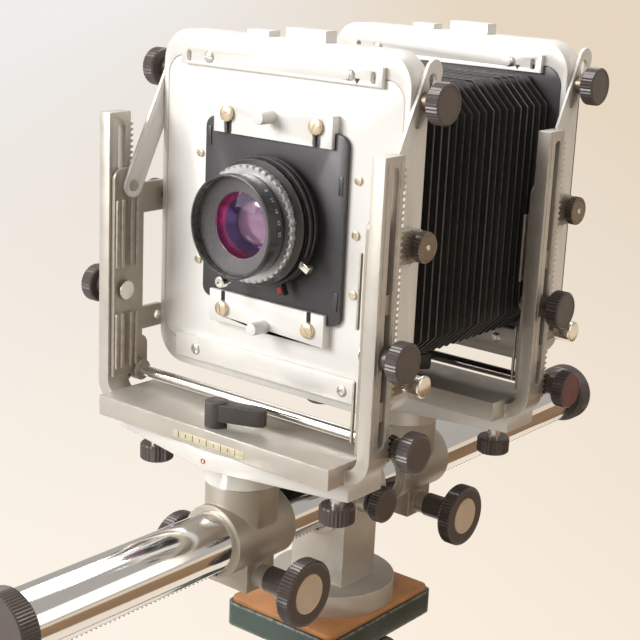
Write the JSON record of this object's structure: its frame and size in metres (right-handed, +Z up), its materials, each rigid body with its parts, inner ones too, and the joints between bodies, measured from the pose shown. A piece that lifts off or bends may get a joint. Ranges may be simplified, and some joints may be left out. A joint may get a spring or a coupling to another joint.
{
  "type": "view camera on tripod",
  "caption": "Monorail view camera with a lens in shutter, pleated bellows, geared standards that rise, shift, swing and tilt, and a tripod with folding legs.",
  "frame": {"origin": "on the floor, under the middle of the rail", "axes": "+X to the right seen from the front, +Y from the lens to the back along the rail, +Z up"},
  "size_m": [0.4308, 0.524, 0.934],
  "materials": {
    "cast_alloy": "satin, bead blasted",
    "bright_alloy": "satin, brushed",
    "chrome": "polished",
    "black_metal": "satin black",
    "knob_black": "semi-gloss, knurled rim",
    "bronze": "dark bronze",
    "rack_steel": "dark, oiled",
    "bellows": "matt black, creased",
    "glass": "coated",
    "ground_glass": "ground",
    "silver_ring": "satin, ribbed",
    "brass_screw": "bright",
    "pad": "worn, waxed",
    "green_casting": "stove enamel, worn edges",
    "leg_black": "satin black",
    "leg_silver": "satin"
  },
  "bodies": {
    "crown": {"tripod_crown": "green_casting"},
    "leg_upper_1": {"leg_upper_1": "leg_black"},
    "leg_lower_1": {"leg_lower_1": "leg_silver"},
    "leg_upper_2": {"leg_upper_2": "leg_black"},
    "leg_lower_2": {"leg_lower_2": "leg_silver"},
    "leg_upper_3": {"leg_upper_3": "leg_black"},
    "leg_lower_3": {"leg_lower_3": "leg_silver"},
    "pan": {"pan_base": "green_casting"},
    "platform": {"tilt_platform": "green_casting", "platform_pads": "pad", "tripod_block": "cast_alloy"},
    "tilt_lock": {"tilt_lock": "knob_black"},
    "block_lock": {"block_lock": "knob_black"},
    "rail": {"rail_tube": "chrome", "rail_rack": "rack_steel", "rail_caps": "knob_black"},
    "front_carrier": {"front_block": "cast_alloy"},
    "front_focus_knobs": {"front_focus_knobs": "knob_black"},
    "front_base": {"front_base_plate": "bright_alloy", "front_base_screws": "knob_black"},
    "front_yoke": {"front_yoke": "cast_alloy"},
    "front_shift_lever": {"front_shift_lever": "black_metal"},
    "front_brackets": {"front_brackets": "cast_alloy"},
    "front_rise_locks": {"front_rise_locks": "knob_black"},
    "front_rise_pinion": {"front_rise_pinion": "knob_black"},
    "front_tilt_links": {"front_tilt_links": "bright_alloy"},
    "front_link_knobs": {"front_link_knobs": "knob_black"},
    "front_tilt_knobs": {"front_tilt_knobs": "bronze"},
    "front_latch_bar": {"front_latch_bar": "bright_alloy"},
    "front_detent": {"front_detent": "chrome"},
    "rear_carrier": {"rear_block": "cast_alloy"},
    "rear_focus_knobs": {"rear_focus_knobs": "knob_black"},
    "rear_base": {"rear_base_plate": "bright_alloy", "rear_base_screws": "knob_black"},
    "rear_yoke": {"rear_yoke": "cast_alloy"},
    "rear_shift_lever": {"rear_shift_lever": "black_metal"},
    "rear_brackets": {"rear_brackets": "cast_alloy"},
    "rear_rise_locks": {"rear_rise_locks": "knob_black"},
    "rear_rise_pinion": {"rear_rise_pinion": "knob_black"},
    "rear_tilt_links": {"rear_tilt_links": "bright_alloy"},
    "rear_link_knobs": {"rear_link_knobs": "knob_black"},
    "rear_tilt_knobs": {"rear_tilt_knobs": "bronze"},
    "rear_latch_bar": {"rear_latch_bar": "bright_alloy"},
    "rear_detent": {"rear_detent": "chrome"},
    "front_frame": {"front_frame": "bright_alloy", "adapter_board": "bright_alloy", "lens_board": "black_metal", "board_retainer": "brass_screw", "shutter_body": "black_metal", "lens_barrels": "black_metal", "lens_elements": "glass", "bellows": "bellows"},
    "rear_frame": {"rear_frame": "bright_alloy", "bellows_plate": "black_metal", "back_frame": "black_metal"},
    "board_slider": {"board_slider": "bright_alloy"},
    "speed_ring": {"speed_ring": "silver_ring"},
    "cocking_lever": {"cocking_lever": "chrome"},
    "aperture_lever": {"aperture_lever": "black_metal"},
    "ground_glass": {"ground_glass": "ground_glass"}
  },
  "joints": [
    {"name": "leg_1_spread", "type": "hinge", "parent": "crown", "child": "leg_upper_1", "pos_m": [0, 0.037, 0.495], "axis": [-1, 0, 0], "range_deg": [0, 20]},
    {"name": "leg_1_extend", "type": "slide", "parent": "leg_upper_1", "child": "leg_lower_1", "axis": [0, 0.3584, -0.9336], "range_m": [0, 0.2]},
    {"name": "leg_2_spread", "type": "hinge", "parent": "crown", "child": "leg_upper_2", "pos_m": [-0.03984, -0.032, 0.495], "axis": [0.5, -0.866, 0], "range_deg": [0, 20]},
    {"name": "leg_2_extend", "type": "slide", "parent": "leg_upper_2", "child": "leg_lower_2", "axis": [-0.3104, -0.1792, -0.9336], "range_m": [0, 0.2]},
    {"name": "leg_3_spread", "type": "hinge", "parent": "crown", "child": "leg_upper_3", "pos_m": [0.03984, -0.032, 0.495], "axis": [0.5, 0.866, 0], "range_deg": [0, 20]},
    {"name": "leg_3_extend", "type": "slide", "parent": "leg_upper_3", "child": "leg_lower_3", "axis": [0.3104, -0.1792, -0.9336], "range_m": [0, 0.2]},
    {"name": "pan", "type": "hinge", "parent": "crown", "child": "pan", "pos_m": [0, -0.009, 0.515], "axis": [0, 0, 1], "continuous": true},
    {"name": "platform_tilt", "type": "hinge", "parent": "pan", "child": "platform", "pos_m": [0, -0.009, 0.566], "axis": [1, 0, 0], "range_deg": [-30, 30]},
    {"name": "tilt_lock_turn", "type": "hinge", "parent": "pan", "child": "tilt_lock", "pos_m": [0, -0.009, 0.566], "axis": [1, 0, 0], "continuous": true},
    {"name": "block_lock_turn", "type": "hinge", "parent": "platform", "child": "block_lock", "pos_m": [0.03, -0.009, 0.665], "axis": [1, 0, 0], "continuous": true},
    {"name": "rail_slide", "type": "slide", "parent": "platform", "child": "rail", "axis": [0, 1, 0], "range_m": [-0.018, 0.036]},
    {"name": "front_focus", "type": "slide", "parent": "rail", "child": "front_carrier", "axis": [0, -1, 0], "range_m": [-0.034, 0.11], "deforming": ["bellows"]},
    {"name": "front_focus_turn", "type": "hinge", "parent": "front_carrier", "child": "front_focus_knobs", "pos_m": [0, -0.093, 0.64285], "axis": [1, 0, 0], "range_deg": [-1270, 400]},
    {"name": "front_swing", "type": "hinge", "parent": "front_carrier", "child": "front_base", "pos_m": [0, -0.093, 0.695], "axis": [0, 0, 1], "range_deg": [-20, 20]},
    {"name": "front_shift", "type": "slide", "parent": "front_base", "child": "front_yoke", "axis": [1, 0, 0], "range_m": [-0.03, 0.03]},
    {"name": "front_shift_lock", "type": "hinge", "parent": "front_yoke", "child": "front_shift_lever", "pos_m": [-0.002, -0.1134, 0.7343], "axis": [0, 0, 1], "range_deg": [-25, 8]},
    {"name": "front_rise", "type": "slide", "parent": "front_yoke", "child": "front_brackets", "axis": [0, 0, 1], "range_m": [0, 0.05]},
    {"name": "front_rise_lock_turn", "type": "hinge", "parent": "front_brackets", "child": "front_rise_locks", "pos_m": [0, -0.1005, 0.785], "axis": [1, 0, 0], "continuous": true},
    {"name": "front_rise_turn", "type": "hinge", "parent": "front_brackets", "child": "front_rise_pinion", "pos_m": [0, -0.08785, 0.7363], "axis": [1, 0, 0], "range_deg": [-5, 580]},
    {"name": "front_tilt", "type": "hinge", "parent": "front_brackets", "child": "front_frame", "pos_m": [0, -0.0695, 0.835], "axis": [1, 0, 0], "range_deg": [-12, 12]},
    {"name": "front_link_turn", "type": "hinge", "parent": "front_brackets", "child": "front_tilt_links", "pos_m": [0, -0.096, 0.843], "axis": [1, 0, 0], "range_deg": [-13, 13]},
    {"name": "front_link_lock_turn", "type": "hinge", "parent": "front_frame", "child": "front_link_knobs", "pos_m": [0, -0.065, 0.905], "axis": [1, 0, 0], "continuous": true},
    {"name": "front_tilt_lock_turn", "type": "hinge", "parent": "front_frame", "child": "front_tilt_knobs", "pos_m": [0, -0.0695, 0.835], "axis": [1, 0, 0], "continuous": true},
    {"name": "front_latch", "type": "slide", "parent": "front_frame", "child": "front_latch_bar", "axis": [0, 0, 1], "range_m": [0, 0.006]},
    {"name": "front_detent_pull", "type": "slide", "parent": "front_brackets", "child": "front_detent", "axis": [1, 0, 0], "range_m": [0, 0.003], "stiffness_N_per_m": 300, "springref_m": -0.005},
    {"name": "rear_focus", "type": "slide", "parent": "rail", "child": "rear_carrier", "axis": [0, -1, 0], "range_m": [-0.12, 0.018]},
    {"name": "rear_focus_turn", "type": "hinge", "parent": "rear_carrier", "child": "rear_focus_knobs", "pos_m": [0, 0.056, 0.64285], "axis": [1, 0, 0], "range_deg": [-215, 1385]},
    {"name": "rear_swing", "type": "hinge", "parent": "rear_carrier", "child": "rear_base", "pos_m": [0, 0.056, 0.695], "axis": [0, 0, 1], "range_deg": [-20, 20]},
    {"name": "rear_shift", "type": "slide", "parent": "rear_base", "child": "rear_yoke", "axis": [1, 0, 0], "range_m": [-0.03, 0.03]},
    {"name": "rear_shift_lock", "type": "hinge", "parent": "rear_yoke", "child": "rear_shift_lever", "pos_m": [-0.002, 0.0356, 0.7343], "axis": [0, 0, 1], "range_deg": [-25, 8]},
    {"name": "rear_rise", "type": "slide", "parent": "rear_yoke", "child": "rear_brackets", "axis": [0, 0, 1], "range_m": [0, 0.05]},
    {"name": "rear_rise_lock_turn", "type": "hinge", "parent": "rear_brackets", "child": "rear_rise_locks", "pos_m": [0, 0.0485, 0.785], "axis": [1, 0, 0], "continuous": true},
    {"name": "rear_rise_turn", "type": "hinge", "parent": "rear_brackets", "child": "rear_rise_pinion", "pos_m": [0, 0.06115, 0.7363], "axis": [1, 0, 0], "range_deg": [-5, 580]},
    {"name": "rear_tilt", "type": "hinge", "parent": "rear_brackets", "child": "rear_frame", "pos_m": [0, 0.0795, 0.835], "axis": [1, 0, 0], "range_deg": [-12, 12]},
    {"name": "rear_link_turn", "type": "hinge", "parent": "rear_brackets", "child": "rear_tilt_links", "pos_m": [0, 0.053, 0.843], "axis": [1, 0, 0], "range_deg": [-13, 13]},
    {"name": "rear_link_lock_turn", "type": "hinge", "parent": "rear_frame", "child": "rear_link_knobs", "pos_m": [0, 0.084, 0.905], "axis": [1, 0, 0], "continuous": true},
    {"name": "rear_tilt_lock_turn", "type": "hinge", "parent": "rear_frame", "child": "rear_tilt_knobs", "pos_m": [0, 0.0795, 0.835], "axis": [1, 0, 0], "continuous": true},
    {"name": "rear_latch", "type": "slide", "parent": "rear_frame", "child": "rear_latch_bar", "axis": [0, 0, 1], "range_m": [0, 0.006]},
    {"name": "rear_detent_pull", "type": "slide", "parent": "rear_brackets", "child": "rear_detent", "axis": [1, 0, 0], "range_m": [0, 0.003], "stiffness_N_per_m": 300, "springref_m": -0.005},
    {"name": "board_slider_lift", "type": "slide", "parent": "front_frame", "child": "board_slider", "axis": [0, 0, 1], "range_m": [0, 0.008]},
    {"name": "speed_ring_turn", "type": "hinge", "parent": "front_frame", "child": "speed_ring", "pos_m": [0, -0.094, 0.835], "axis": [0, 1, 0], "range_deg": [-60, 60]},
    {"name": "cocking", "type": "hinge", "parent": "front_frame", "child": "cocking_lever", "pos_m": [0, -0.084, 0.835], "axis": [0, 1, 0], "range_deg": [0, 35], "stiffness_Nm_per_rad": 0.05, "springref_deg": -28.65},
    {"name": "aperture", "type": "hinge", "parent": "front_frame", "child": "aperture_lever", "pos_m": [0, -0.084, 0.835], "axis": [0, 1, 0], "range_deg": [-22, 22]},
    {"name": "back_open", "type": "slide", "parent": "rear_frame", "child": "ground_glass", "axis": [0, 1, 0], "range_m": [0, 0.014], "stiffness_N_per_m": 600, "springref_m": -0.01}
  ],
  "couplings": [
    {"joint": "front_focus_turn", "follows": "front_focus", "rad_per_m": -200},
    {"joint": "front_rise_turn", "follows": "front_rise", "rad_per_m": 200},
    {"joint": "front_link_turn", "follows": "front_tilt", "ratio": 0.9356},
    {"joint": "rear_focus_turn", "follows": "rear_focus", "rad_per_m": -200},
    {"joint": "rear_rise_turn", "follows": "rear_rise", "rad_per_m": 200},
    {"joint": "rear_link_turn", "follows": "rear_tilt", "ratio": 0.9356}
  ]
}
